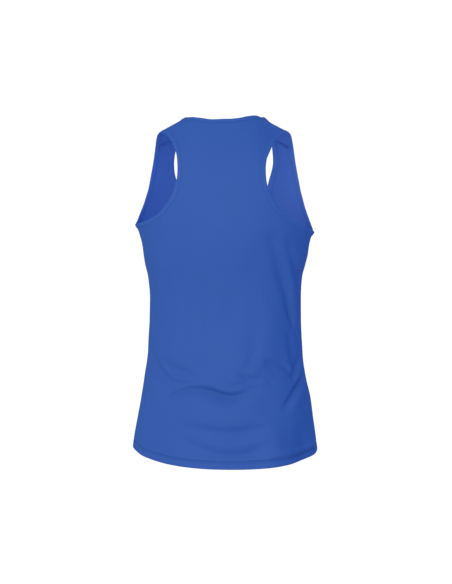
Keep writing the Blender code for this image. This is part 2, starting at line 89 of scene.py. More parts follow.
# creases: lean, then nodes of (around, height, how far out, half width); a crease fades to nothing
# at its ends. Lean is the share by which it is wider below a line listed from the wearer's left to
# right, or on the left of one listed downwards; it is as much narrower on the other side.
BACK_CREASES = [
    # deep crease above the hips
    (0.7, [(112, -543, 0, 8), (99, -533, -3, 7), (86, -524, -4.5, 7), (64, -516, -5.5, 7),
           (34, -517, -7, 9), (9, -525, -8.5, 10), (-11, -529, -8.5, 10), (-30, -524, -5.5, 9),
           (-44, -516, -2, 8), (-55, -511, 0, 8)]),
    # roll above it
    (0.0, [(92, -506, 0, 13), (60, -498, 3, 13), (20, -504, 3, 14), (-20, -502, 2, 13),
           (-40, -498, 0, 13)]),
    # long crease falling from the left side
    (0.3, [(196, -432, 0, 11), (170, -452, -3, 12), (147, -471, -4.5, 12), (130, -485, -6, 11),
           (112, -496, -6, 9), (96, -504, -4.5, 8), (74, -507, -3.5, 7), (48, -506, 0, 7)]),
    # roll below it
    (0.0, [(180, -492, 0, 18), (140, -514, 2.5, 18), (100, -540, 1.5, 20), (60, -556, 0, 20)]),
    # shorter crease above it
    (0.3, [(132, -465, 0, 10), (112, -473, -3, 10), (84, -482, -4.5, 10), (59, -493, -4.5, 10),
           (38, -508, 0, 8)]),
    # upright ridge at the left, bending out at its foot
    (0.0, [(112, -262, 0, 13), (102, -300, 1.6, 12), (94, -350, 2.2, 11), (94, -402, 2.6, 10),
           (106, -444, 2.6, 10), (126, -466, 0, 10)]),
    # fainter ridge nearer the middle
    (0.0, [(70, -226, 0, 14), (63, -290, 1, 13), (57, -350, 1.3, 11), (50, -410, 1.5, 10),
           (42, -462, 1.8, 9), (37, -492, 0, 9)]),
    # ridge from the left armhole out to the waist
    (0.0, [(100, -216, 0, 15), (118, -270, 2.5, 14), (138, -314, 3.5, 13), (158, -344, 3, 12),
           (176, -366, 0, 12)]),
    # trough beside it
    (0.0, [(156, -222, 0, 16), (164, -270, -3, 16), (174, -308, -4, 14), (190, -338, -3, 12),
           (206, -362, 0, 12)]),
    # trough from the right armhole down to the waist
    (-0.2, [(-76, -208, 0, 12), (-84, -234, -2.8, 14), (-94, -262, -4.2, 15),
            (-108, -290, -4.8, 16), (-121, -318, -5.2, 16), (-132, -346, -5.2, 14),
            (-142, -372, -5.5, 11), (-153, -392, -4.8, 8), (-161, -404, 0, 7)]),
    # ridge beside it
    (0.0, [(-94, -212, 0, 10), (-109, -246, 1.5, 10), (-130, -282, 2.5, 11), (-152, -325, 3, 12),
           (-168, -368, 2.5, 12), (-180, -404, 0, 10)]),
    # second trough, nearer the side
    (0.0, [(-106, -218, 0, 12), (-113, -236, -2.5, 12), (-128, -264, -4, 12),
           (-153, -289, -5, 12), (-177, -309, -5, 12), (-192, -335, -4, 12),
           (-200, -366, 0, 12)]),
    # bowed crease at the right of the waist
    (0.4, [(-72, -462, 0, 8), (-85, -465, -3.5, 8), (-98, -467, -4.5, 8), (-111, -470, -4.5, 8),
           (-122, -476, -4, 8), (-129, -483, -3.5, 7), (-136, -492, -2, 6), (-139, -498, 0, 6)]),
    # its other arm, up to the side seam
    (0.3, [(-130, -502, 0, 6), (-138, -495, -4.5, 7), (-148, -487, -5, 9), (-166, -472, -4.5, 12),
           (-182, -458, -2, 12), (-196, -446, 0, 12)]),
    # trough that runs down to where the two meet
    (-0.25, [(-132, -400, 0, 12), (-140, -422, -3.2, 15), (-145, -446, -4.5, 16),
             (-147, -466, -3, 14), (-145, -484, 0, 9)]),
    # roll below them
    (0.0, [(-128, -516, 0, 6), (-146, -504, 2, 6), (-164, -491, 3, 7), (-182, -477, 3, 8),
           (-202, -462, 0, 8)]),
    # sharp crease falling from the right side
    (-0.35, [(-200, -482, 0, 8), (-184, -494, -4, 7), (-165, -505, -7, 7),
             (-147, -515, -7.5, 6.5), (-128, -530, -7, 6.5), (-112, -546, -4.5, 7),
             (-100, -560, 0, 7)]),
    # roll below it
    (0.0, [(-200, -500, 0, 10), (-180, -510, 3, 10), (-158, -524, 3.5, 11), (-137, -541, 3.5, 11),
           (-120, -558, 2.5, 12), (-108, -574, 0, 12)]),
    # long shallow trough right of the middle
    (0.0, [(-52, -262, 0, 16), (-56, -320, -1.2, 16), (-58, -370, -1.4, 15),
           (-58, -416, -1.6, 14), (-55, -446, -2, 12), (-49, -464, -2.8, 9), (-43, -475, -2.5, 7),
           (-38, -483, 0, 6)]),
    # small hooked crease at its foot
    (0.3, [(-24, -478, 0, 6), (-31, -488, -3, 6), (-40, -496, -4, 6.5), (-52, -498, -4, 6.5),
           (-62, -497, -2.5, 7), (-72, -492, 0, 7)]),
    # roll over the hook
    (0.0, [(-38, -478, 0, 6), (-52, -478, 2.5, 6), (-66, -481, 3, 7), (-78, -489, 2.5, 7),
           (-90, -503, 0, 8)]),
    # thin crease beside that roll
    (0.0, [(-58, -480, 0, 5), (-70, -487, -2, 5), (-80, -498, -2.5, 5), (-88, -510, 0, 6)]),
    # small crease above the end of the deep one
    (0.3, [(-6, -509, 0, 7), (-20, -508, -2.5, 7), (-37, -510, -3.5, 7), (-53, -517, -3, 7),
           (-66, -526, 0, 7)]),
    # first bowed crease above the hem
    (0.5, [(92, -583, 0, 18), (42, -595, -4.5, 17), (2, -600, -6.5, 17), (-40, -597, -5.5, 17),
           (-84, -586, -1, 16), (-110, -582, 0, 16)]),
    # roll above it
    (0.0, [(84, -562, 0, 16), (40, -569, 1.2, 16), (-4, -573, 1.2, 16), (-60, -565, 0, 16)]),
    # second bowed crease
    (0.35, [(88, -606, 0, 15), (53, -623, -4.5, 15), (9, -642, -6, 15), (-29, -643, -6.5, 15),
            (-58, -630, -4.5, 15), (-82, -613, 0, 14)]),
    # roll above it
    (0.0, [(60, -607, 0, 14), (9, -617, 0.8, 14), (-29, -616, 0.8, 14), (-60, -605, 0, 14)]),
    # faint trough below the left strap
    (0.0, [(76, -140, 0, 13), (72, -168, -0.8, 13), (67, -202, -1, 13), (64, -246, 0, 13)]),
    # faint trough left of the middle
    (0.0, [(38, -290, 0, 13), (36, -340, -1.6, 12), (32, -392, -1.6, 12), (28, -440, 0, 12)]),
    # broad wave towards the hem, left
    (0.0, [(160, -540, 0, 20), (156, -580, 2, 20), (150, -620, 2.5, 20), (146, -668, 2, 20),
           (146, -700, 0, 20)]),
    # broad wave towards the hem, right
    (0.0, [(-72, -572, 0, 20), (-74, -604, 3, 20), (-74, -650, 4.5, 22), (-74, -706, 4.5, 22)]),
    # broad trough beside it
    (0.0, [(-150, -572, 0, 24), (-144, -598, -4.5, 25), (-140, -650, -6.5, 26),
           (-140, -706, -6.5, 26)]),
    # stitching drawn in at the right of the hem
    (0.0, [(-20, -657.5, 0, 3.5), (-56, -656.5, -1.4, 3.5), (-90, -653, -2.2, 3.5),
           (-140, -646, -3.2, 3.5), (-190, -638.5, -4, 4), (-220, -634.5, -4, 4.5),
           (-234, -633, 0, 4.5)]),
    # roll above the stitching
    (0.0, [(-62, -646, 0, 5), (-90, -643, 2, 5), (-140, -636, 3.4, 5), (-190, -628.5, 3.4, 5),
           (-228, -624, 0, 5)])]
SIDE_CALM, SIDE_REACH = 0.75, 38.0   # share of a crease that dies out at a side seam; reach
# slow unevenness of the hanging cloth: wavelength round, wavelength up, phase, height
RIPPLES = [(170, 310, 0.4, 0.6), (96, -230, 2.1, 0.35), (61, 140, 4.0, 0.22), (43, -88, 1.1, 0.12)]

# finished edges as (around, girth); a name marks the end of a run of the panels' grid
NECK = [
    (0, 142.2, ""), (17, 142.7, ""), (30, 146.7, ""), (43, 157, ""), (53, 171, "back corner left"),
    (60, 188, ""), (65, 212, ""), (71.5, 266, ""), (80.2, 330.5, "seam left"), (86, 363, ""),
    (87.5, 383, ""), (84.5, 405, ""), (70.5, 444, "front corner left"), (34, 475, ""),
    (0, 480, ""), (-33, 475, ""), (-64.5, 444, "front corner right"), (-76, 408, ""),
    (-82, 383, ""), (-82, 363, ""), (-78.3, 328, "seam right"), (-72, 270, ""), (-64, 206, ""),
    (-60, 184, ""), (-53, 171, "back corner right"), (-45, 162.5, ""), (-35, 153.7, ""),
    (-25, 147.5, ""), (-12, 143, "")]
ARM_LEFT = [
    (END, -5.5, "underarm"), (194, -6, ""), (164, -5, ""), (144, -2, ""), (129, 2, ""),
    (113, 9, ""), (103, 16.5, "back bend"), (88, 32.5, ""), (81.5, 47, ""), (77, 63.5, ""),
    (76.5, 82.5, ""), (78.5, 102, ""), (84, 121.5, "back strap"), (93.5, 151, ""), (106, 191, ""),
    (116, 241, ""), (121, 288, ""), (125.5, 325, "seam"), (133, 365.5, ""), (144.5, 404.5, ""),
    (151, 417, "front strap"), (166, 443, ""), (189.5, 469.5, ""), (209, 481, ""),
    (END, 485.5, "underarm")]
ARM_RIGHT = [
    (-END, -22, "underarm"), (-192, -20.5, ""), (-160, -16, ""), (-141.5, -11, ""),
    (-125, -4.5, ""), (-112, 1.5, ""), (-89, 16, "back bend"), (-74, 32.5, ""), (-67.5, 50, ""),
    (-65.5, 67, ""), (-67, 86.5, ""), (-73, 106, ""), (-80, 128.5, "back strap"),
    (-91, 156.5, ""), (-104.5, 193, ""), (-113, 241, ""), (-119.8, 291, ""), (-124.4, 325, "seam"),
    (-131.2, 368, ""), (-141.8, 406.5, ""), (-146.8, 420, "front strap"), (-159.4, 444.5, ""),
    (-179, 473, ""), (-194.6, 487.5, ""), (-214, 498.5, ""), (-END, 502, "underarm")]
# ends of the shoulder seams as (around, girth), and a girth past them both
SEAM_LEFT = ((80.2, 330.5), (125.5, 325))
SEAM_RIGHT = ((-124.4, 325), (-78.3, 328))
PAST_SEAMS = 400

HEM_PLY = 1.6         # how far in the turned-up ply of the hem lies
HEM_STITCH = (11.8, 15.0)     # its two rows of stitching, above the fold
# rows of the turned hem: height above the fold, lift; first the ply inside, then the fold, then
# the outside with the two sunk lines of the coverstitch
HEM_ROWS = ([(up, -HEM_PLY) for up in (15.8, 15.2, 13, 10, 7, 4, 2, 1.2)]
            + [(0.8 - 0.8 * np.cos(turn), 0.5 * HEM_PLY * (np.sin(turn) - 1))
               for turn in np.linspace(-pi / 2, pi / 2, 7)]
            + [(2, 0.05), (4, 0.12), (7, 0.12), (10, 0.05), (11.2, -0.1), (11.8, -0.4),
               (12.4, -0.1), (13.4, 0.05), (14.3, -0.2), (15, -1.0), (15.7, -0.4), (16.8, 0),
               (18.5, 0), (21, 0), (24, 0)])

# cells of the panels' grid along each run of an edge
SIDE, STRAP, NECKLINE, ROWS, BACK_MID, BACK_STRAP, FRONT_STRAP = 52, 14, 34, 150, 40, 64, 40
COLUMNS = 2 * SIDE + 2 * STRAP + NECKLINE
FLANK = 0.54          # share of each half of a panel's foot that the columns of SIDE take
CROWDING = 1.45       # how much closer the grid stands towards the side seams
LINE_PARTS, CREASE_PARTS = 24, 6      # parts of an edge, and of a crease, between two nodes


def ease(x, xs, ys):
    """Cubic through the points of a table, with slopes that never overshoot."""
    step = np.diff(xs)
    rise = np.diff(ys) / step
    slope = np.zeros_like(ys)
    for i in range(1, len(xs) - 1):
        if rise[i - 1] * rise[i] > 0:
            near, far = 2 * step[i] + step[i - 1], step[i] + 2 * step[i - 1]
            slope[i] = (near + far) / (near / rise[i - 1] + far / rise[i])
    slope[0], slope[-1] = rise[0], rise[-1]
    k = np.clip(np.searchsorted(xs, x) - 1, 0, len(xs) - 2)
    t = (x - xs[k]) / step[k]
    return ((2 * t**3 - 3 * t**2 + 1) * ys[k] + (t**3 - 2 * t**2 + t) * step[k] * slope[k]
            + (3 * t**2 - 2 * t**3) * ys[k + 1] + (t**3 - t**2) * step[k] * slope[k + 1])


def rounded(angle, power):
    """Superellipse of half axes 1: sideways, and away from the middle, at an angle."""
    s, c = np.sin(angle), np.cos(angle)
    r = (np.abs(s)**power + np.abs(c)**power)**(-1 / power)
    return r * s, r * c


def figure(around, girth):
    """Level superellipses up to the chest, then an arch of superellipses over each shoulder."""
    around, girth = np.broadcast_arrays(np.asarray(around, float), np.asarray(girth, float))
    level = CHEST + np.minimum(np.minimum(girth, OVER - girth), 0)
    level = np.maximum(level, FIGURE[0, 0])
    left, right, back, front, power = (ease(level, FIGURE[:, 0], FIGURE[:, k])
                                       for k in range(1, 6))
    sideways, away = rounded(around / ROUND, power)
    x = np.where(around >= 0, left, right) * sideways
    rise, lean = rounded(np.clip(girth, 0, OVER) / OVER * pi, ARCH)
    y = np.where(girth > OVER / 2, -front, back) * away * np.abs(lean)
    crown = ease(np.clip(x, SHOULDERS[0, 0], SHOULDERS[-1, 0]), SHOULDERS[:, 0], SHOULDERS[:, 1])
    arch = (girth >= 0) & (girth <= OVER)
    z = np.where(arch, CHEST + (crown - CHEST) * rise, level)
    return np.stack([x, y, z], -1)


def smooth_line(nodes, parts):
    """Catmull-Rom line through every node but the first and last, which lead it in and out."""
    nodes = np.asarray(nodes, float)
    t = np.linspace(0, 1, parts, endpoint=False)[:, None]
    runs = []
    for a, b, c, d in zip(nodes[:-3], nodes[1:-2], nodes[2:-1], nodes[3:]):
        runs.append(b + 0.5 * ((c - a) * t + (2 * a - 5 * b + 4 * c - d) * t**2
                               + (3 * b - a - 3 * c + d) * t**3))
    return np.vstack(runs + [nodes[-2:-1]])


def once_round(around, front):
    """Distance round the body from the middle of the back, through the left side."""
    return np.where(front, 2 * END - around, around)


def crease_line(nodes, front):
    """Smooth line through a crease's nodes, led in and out straight."""
    line = np.array(nodes, float)
    line[:, 0] = once_round(line[:, 0], front)
    lead_in, lead_out = 2 * line[0] - line[1], 2 * line[-1] - line[-2]
    return smooth_line(np.vstack([lead_in, line, lead_out]), CREASE_PARTS)


crease_lines = [(lean, crease_line(nodes, False)) for lean, nodes in BACK_CREASES]


def relief(around, girth):
    """Sum of the creases, each a bell curve across its line, and of a few slow sine ripples."""
    front = girth > OVER / 2
    height = CHEST + np.where(front, OVER - girth, girth)
    here = once_round(around, front)
    total = np.zeros_like(height)
    for lean, line in crease_lines:
        low, high = line.min(0), line.max(0)
        middle, reach = (low[0] + high[0]) / 2, 4 * high[3]
        at = (here - middle + 2 * END) % (4 * END) - 2 * END + middle
        near = ((at > low[0] - reach) & (at < high[0] + reach)
                & (height > low[1] - reach) & (height < high[1] + reach))
        run = np.diff(line, axis=0)
        over, up = at[near][:, None] - line[:-1, 0], height[near][:, None] - line[:-1, 1]
        t = np.clip((over * run[:, 0] + up * run[:, 1]) / (run[:, 0]**2 + run[:, 1]**2), 0, 1)
        gap = (over - t * run[:, 0])**2 + (up - t * run[:, 1])**2
        side = np.sign(run[:, 0] * up - run[:, 1] * over)
        wide = (line[:-1, 3] + t * run[:, 3]) * (1 + lean * side)
        bell = (line[:-1, 2] + t * run[:, 2]) * np.exp(-gap / wide**2)
        total[near] += np.take_along_axis(bell, gap.argmin(1)[:, None], 1)[:, 0]
    total *= 1 - SIDE_CALM * np.exp(-((END - np.abs(around)) / SIDE_REACH)**2)
    for across, up, phase, high in RIPPLES:
        whole = 4 * END / round(4 * END / across)      # so that it closes on itself
        total += high * np.sin(2 * pi * (here / whole + height / up) + phase)
    return total


def unit(vectors):
    """Each vector over its own length."""
    return vectors / np.linalg.norm(vectors, axis=-1, keepdims=True)


def directions(around, girth, surface):
    """How a surface runs as around grows, and as girth grows."""
    step = 0.05
    return ((surface(around + step, girth) - surface(around - step, girth)) / (2 * step),
            (surface(around, girth + step) - surface(around, girth - step)) / (2 * step))


def outward(around, girth, surface):
    """Unit normal of a surface, away from the body: the cross product of its two directions."""
    across, up = directions(around, girth, surface)
    return unit(np.cross(up, across))


def cloth(around, girth, lift=0):
    """The figure, moved along its own normal by the relief and a lift."""
    high = (relief(around, girth) + lift)[..., None]
    return figure(around, girth) + outward(around, girth, figure) * high


def hem_girth(around, front):
    """The hem dips from the side seams to the middle as a power of a superellipse."""
    dip = np.maximum(rounded(around / ROUND, ARCH)[1], 0)**HEM_CURVE
    height = HEM_SIDE + HEM_TILT * around / END - (HEM_FRONT if front else HEM_BACK) * dip
    return OVER + CHEST - height if front else height - CHEST


def stations(table, cells, closed):
    """Chart points along each named run of a finished edge, spaced by length on the figure."""
    nodes = np.array([row[:2] for row in table], float)
    marks = [k for k, row in enumerate(table) if row[2]]
    if closed:
        nodes = np.roll(nodes, -marks[0], 0)
        marks = [k - marks[0] for k in marks] + [len(nodes)]
        nodes = np.vstack([nodes[-1], nodes, nodes[:2]])
    else:
        lead_in = (2 * nodes[0, 0] - nodes[1, 0], nodes[1, 1])
        lead_out = (2 * nodes[-1, 0] - nodes[-2, 0], nodes[-2, 1])
        nodes = np.vstack([lead_in, nodes, lead_out])
    line = smooth_line(nodes, LINE_PARTS)
    runs = []
    for first, last, count in zip(marks[:-1], marks[1:], cells):
        piece = line[first * LINE_PARTS:last * LINE_PARTS + 1]
        hops = np.linalg.norm(np.diff(figure(piece[:, 0], piece[:, 1]), axis=0), axis=1)
        length = np.concatenate([[0], np.cumsum(hops)])
        share = np.linspace(0, 1, count + 1)
        if not closed and first == marks[0]:
            share = share**CROWDING
        elif not closed and last == marks[-1]:
            share = 1 - (1 - share)**CROWDING
        want = share * length[-1]
        runs.append(np.stack([np.interp(want, length, piece[:, k]) for k in (0, 1)], -1))
    return runs


def ring(runs):
    """The runs of a closed edge as one list, each corner once."""
    return np.vstack([run[:-1] for run in runs])


def into_cloth(edge):
    """Direction on the figure from a closed edge into the cloth, at each station."""
    place = figure(edge[:, 0], edge[:, 1])
    along = unit(np.roll(place, -1, 0) - np.roll(place, 1, 0))
    arrows = unit(np.cross(outward(edge[:, 0], edge[:, 1], figure), along))
    return arrows * np.sign(np.sum((place - place.mean(0)) * arrows))


def move_in(edge, arrows, distance):
    """Chart points at a distance from the edge, stepped along the arrows on the figure."""
    at = edge.copy()
    hops = 4
    for _ in range(hops):
        across, up = directions(at[:, 0], at[:, 1], figure)
        normal = np.cross(across, up)
        want = arrows * distance / hops
        scale = np.sum(normal * normal, -1)
        at[:, 0] += np.sum(np.cross(want, up) * normal, -1) / scale
        at[:, 1] += np.sum(np.cross(across, want) * normal, -1) / scale
    return at


def panel_runs(runs):
    """The runs of an edge moved in to a panel's raw edge beside the binding."""
    edge = ring(runs)
    moved = move_in(edge, into_cloth(edge), UNDER)
    moved = np.vstack([moved, moved[:1]])
    starts = np.cumsum([0] + [len(run) - 1 for run in runs])
    return [moved[a:b + 1].copy() for a, b in zip(starts[:-1], starts[1:])]


def armhole_runs(runs):
    """The same for an armhole, whose two ends are one point of the side seam in two charts."""
    moved = panel_runs(runs)
    side = np.sign(runs[0][0, 0]) * END
    moved[0][0, 0] = side
    moved[-1][-1] = (side, runs[-1][-1, 1] + UNDER)
    for run in (moved[0], moved[-1]):
        run[:, 0] = np.clip(run[:, 0], -END, END)
    return moved


def between(first, last, count):
    """Equal steps straight from one chart point to another."""
    return first + (last - first) * np.linspace(0, 1, count + 1)[:, None]


def blend(low, high, start, stop):
    """Coons patch of chart points between four edge lines."""
    u = np.linspace(0, 1, len(low))[None, :, None]
    v = np.linspace(0, 1, len(start))[:, None, None]
    return ((1 - v) * low[None] + v * high[None] + (1 - u) * start[:, None] + u * stop[:, None]
            - (1 - u) * (1 - v) * low[0] - u * (1 - v) * low[-1]
            - (1 - u) * v * high[0] - u * v * high[-1])


def make_mesh(name, points, faces, uv=None, thickness=0):
    """Mesh from points in mm and rows of corners; uv, in mm along the cloth, is kept in metres."""
    mesh = bpy.data.meshes.new(name)
    places = points.reshape(-1, 3) / 1000
    mesh.from_pydata(places.tolist(), [], np.asarray(faces).tolist())
    mesh.shade_smooth()
    if uv is not None:
        layer = mesh.uv_layers.new(name="cloth")
        corner = np.zeros(len(mesh.loops), np.int32)
        mesh.loops.foreach_get("vertex_index", corner)
        layer.data.foreach_set("uv", (uv[corner] / 1000).ravel())
    piece = bpy.data.objects.new(name, mesh)
    bpy.context.scene.collection.objects.link(piece)
    if thickness:
        wall = piece.modifiers.new("thickness of the cloth", "SOLIDIFY")
        wall.thickness = thickness / 1000
        wall.offset = -1
        wall.material_offset = 1
    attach(piece, "root")
    return piece


def shoulder_line(around):
    """Girth of the shoulder seams, straight between their ends on the chart."""
    left, right = (np.interp(around, *zip(*seam)) for seam in (SEAM_LEFT, SEAM_RIGHT))
    return np.where(around >= 0, left, right)


def seam_ditch(around, girth):
    """Bell curve of the distance from a side or shoulder seam, where the cloth rolls in."""
    aside = (END - np.abs(around)) * SIDE_SCALE
    over = (girth - shoulder_line(around)) * OVER_SCALE
    strap = (girth > OVER / 2) & (girth < PAST_SEAMS)
    return -DITCH * (np.exp(-(aside / DITCH_WIDE)**2)
                     + np.where(strap, np.exp(-(over / DITCH_WIDE)**2), 0))


def make_panel(name, front):
    """Grid of chart points in Coons patches: the hem rows, the body, the yoke and two straps."""
    if front:
        sides = front_side_right[::-1], front_side_left[::-1]
        arms = chest_right[::-1], chest_left[::-1]
        necks = chest_neck_right, chest_neck_left[::-1]
        neckline, strap_rows, mid_rows = scoop[::-1], FRONT_STRAP, 0
    else:
        sides = side_right, side_left
        arms = strap_right, strap_left
        necks = strap_neck_right[::-1], strap_neck_left
        neckline, strap_rows, mid_rows = nape, BACK_STRAP, BACK_MID
    feet = np.vstack([between(arms[0][0], necks[0][0], STRAP)[:-1], neckline,
                      between(necks[1][0], arms[1][0], STRAP)[1:]])
    shelf = feet if front else between(bend_right[0], bend_left[0], len(feet) - 1)
    top = np.vstack([sides[0][:-1], shelf, sides[1][::-1][1:]])
    up = -1 if front else 1
    share = np.linspace(0, 1, SIDE + 1)**CROWDING
    flank = END * (1 - FLANK * share)
    middle = np.linspace(-flank[-1], flank[-1], COLUMNS - 2 * SIDE + 1)
    spread = np.concatenate([-flank[:-1], middle, flank[::-1][1:]])
    hem = np.stack([spread, hem_girth(spread, front)], -1)
    base = len(HEM_ROWS) - 1
    rows = base + ROWS + mid_rows + strap_rows
    at = np.zeros((rows + 1, COLUMNS + 1, 2))
    lift = np.zeros((rows + 1, COLUMNS + 1))
    cell = np.zeros((rows, COLUMNS), bool)
    cell[:base] = True
    for row, (above, raised) in enumerate(HEM_ROWS):
        at[row] = hem + (0, up * above)
        lift[row] = raised
    low = at[base].copy()
    body = blend(low, top, between(low[0], top[0], ROWS), between(low[-1], top[-1], ROWS))
    foot_row = base + ROWS + mid_rows
    right_strap = blend(feet[:STRAP + 1], between(arms[0][-1], necks[0][-1], STRAP),
                        arms[0], necks[0])
    left_strap = blend(feet[-STRAP - 1:], between(necks[1][-1], arms[1][-1], STRAP),
                       necks[1], arms[1])
    blocks = [(base, 0, body), (foot_row, SIDE, right_strap),
              (foot_row, COLUMNS - SIDE - STRAP, left_strap)]
    if not front:
        blocks.insert(1, (base + ROWS, SIDE, blend(shelf, feet, bend_right, bend_left)))
    for row, column, grid in blocks:
        high, wide = grid.shape[0] - 1, grid.shape[1] - 1
        at[row:row + high + 1, column:column + wide + 1] = grid
        cell[row:row + high, column:column + wide] = True
    # the panel's raw edges, but not its side seams and hem, sink a little under the bindings
    met = np.zeros(at.shape[:2], int)
    for j in (0, 1):
        for i in (0, 1):
            met[j:j + rows, i:i + COLUMNS] += cell
    rim = (met > 0) & (met < 4)
    rim[:base + ROWS // 2] = False
    rim[:, [0, -1]] = False
    rim[-1] = False
    lift[rim] -= TUCK
    lift += seam_ditch(at[..., 0], at[..., 1])
    used = met > 0
    number = np.cumsum(used).reshape(used.shape) - 1
    corners = [number[:-1, :-1], number[1:, :-1], number[1:, 1:], number[:-1, 1:]]
    faces = np.stack([corner[cell] for corner in (corners[::-1] if front else corners)], -1)
    around, girth = at[used].T
    return make_mesh(name, cloth(around, girth, lift[used]), faces, at[used], KNIT)


def linear(hex_colour):
    """Linear values of an sRGB hex colour."""
    parts = [int(hex_colour[k:k + 2], 16) / 255 for k in (1, 3, 5)]
    return [c / 12.92 if c <= 0.04045 else ((c + 0.055) / 1.055)**2.4 for c in parts] + [1]


def add_node(tree, kind, links=(), **settings):
    """Node of a kind, its settings by name, and its input sockets from values or other sockets."""
    node = tree.nodes.new(kind)
    for name, value in settings.items():
        setattr(node, name, value)
    for socket, source in dict(links).items():
        if isinstance(source, bpy.types.NodeSocket):
            tree.links.new(source, node.inputs[socket])
        else:
            node.inputs[socket].default_value = source
    return node


# spacing of the knit's wales and courses, and depth of its bump. Wales, about 0.8 mm apart in the
# real cloth, are drawn a little coarser, so that they show
WALE, COURSE, GRAIN = 1.1, 1.3, 0.05


def interlock(name, face, furrow_shade):
    """Smooth interlock: fine upright wales crossed by softer courses, with a low silky sheen.

    Its height and its tint are a sine wave across the wales plus that wave times one across the
    courses; where that wave is low the tint turns to the darker furrow colour, which is painted
    shade in the knit's grooves. Noise, whose scales are per metre, adds blotches of about 90 mm
    to the tint and fuzz of about 1 mm to the height.
    """
    knit = bpy.data.materials.new(name)
    knit.use_nodes = True
    tree = knit.node_tree
    shader = tree.nodes["Principled BSDF"]
    chart = add_node(tree, "ShaderNodeUVMap", uv_map="cloth")
    split = add_node(tree, "ShaderNodeSeparateXYZ", {0: chart.outputs[0]})
    waves = []
    for axis, pitch in (("X", WALE), ("Y", COURSE)):
        phase = add_node(tree, "ShaderNodeMath",
                         {0: split.outputs[axis], 1: 2 * pi / (pitch / 1000)},
                         operation="MULTIPLY")
        waves.append(add_node(tree, "ShaderNodeMath", {0: phase.outputs[0]}, operation="SINE"))
    loops = add_node(tree, "ShaderNodeMath",
                     {0: waves[0].outputs[0], 1: waves[1].outputs[0], 2: waves[0].outputs[0]},
                     operation="MULTIPLY_ADD")
    spot = add_node(tree, "ShaderNodeTexCoord")
    mottle = add_node(tree, "ShaderNodeTexNoise",
                      {"Vector": spot.outputs["Object"], "Scale": 11, "Detail": 3})
    fuzz = add_node(tree, "ShaderNodeTexNoise",
                    {"Vector": spot.outputs["Object"], "Scale": 900, "Detail": 2})
    shade = add_node(tree, "ShaderNodeMath",
                     {0: loops.outputs[0], 1: 0.16, 2: mottle.outputs[0]},
                     operation="MULTIPLY_ADD", use_clamp=True)
    # tint: the face colour on the wales, the darker furrow colour in the grooves as painted shade,
    # shifted at random by the blotches
    tint = add_node(tree, "ShaderNodeMix", {0: shade.outputs[0], 6: linear(furrow_shade),
                                            7: linear(face)}, data_type="RGBA")
    tree.links.new(tint.outputs[2], shader.inputs["Base Color"])
    high = add_node(tree, "ShaderNodeMath", {0: fuzz.outputs[0], 1: 0.5, 2: loops.outputs[0]},
                    operation="MULTIPLY_ADD")
    bump = add_node(tree, "ShaderNodeBump", {"Height": high.outputs[0], "Distance": GRAIN / 1000,
                                             "Strength": 0.5})
    tree.links.new(bump.outputs[0], shader.inputs["Normal"])
    shader.inputs["Roughness"].default_value = 0.8
    shader.inputs["Specular IOR Level"].default_value = 0
    shine = add_node(tree, "ShaderNodeBsdfAnisotropic", {"Roughness": 0.55,
                                                         "Normal": bump.outputs[0]})
    cover = add_node(tree, "ShaderNodeMixShader", {0: SHINE, 1: shader.outputs[0],
                                                   2: shine.outputs[0]})
    tree.links.new(cover.outputs[0], tree.nodes["Material Output"].inputs["Surface"])
    return knit


neck_cells = (BACK_STRAP, FRONT_STRAP, NECKLINE, FRONT_STRAP, BACK_STRAP, NECKLINE)
neck = stations(NECK, neck_cells, True)
arm_cells = (SIDE, BACK_MID, BACK_STRAP, FRONT_STRAP, SIDE)
arm_left, arm_right = (stations(table, arm_cells, False) for table in (ARM_LEFT, ARM_RIGHT))
(strap_neck_left, chest_neck_left, scoop,
 chest_neck_right, strap_neck_right, nape) = panel_runs(neck)
side_left, bend_left, strap_left, chest_left, front_side_left = armhole_runs(arm_left)
side_right, bend_right, strap_right, chest_right, front_side_right = armhole_runs(arm_right)

# each knit's second colour is the darker tint of its grooves: painted shade
panel_knit = interlock("interlock polyester knit", "#2A57A9", "#2853A2")
# the same knit seen from inside, paler to stand in for the light that thin cloth lets through
inside_knit = interlock("interlock knit seen from inside", "#507CD4", "#4D78CC")

back = make_panel("back_panel", front=False)
back.data.materials.append(panel_knit)
back.data.materials.append(inside_knit)
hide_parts("back")

# ----------------------------------------
# Front panel. The same knit, cut straighter at the armholes and scooped low at the neck, its hem a
# little higher than the back's. It carries soft folds from the underarms and above the hips.

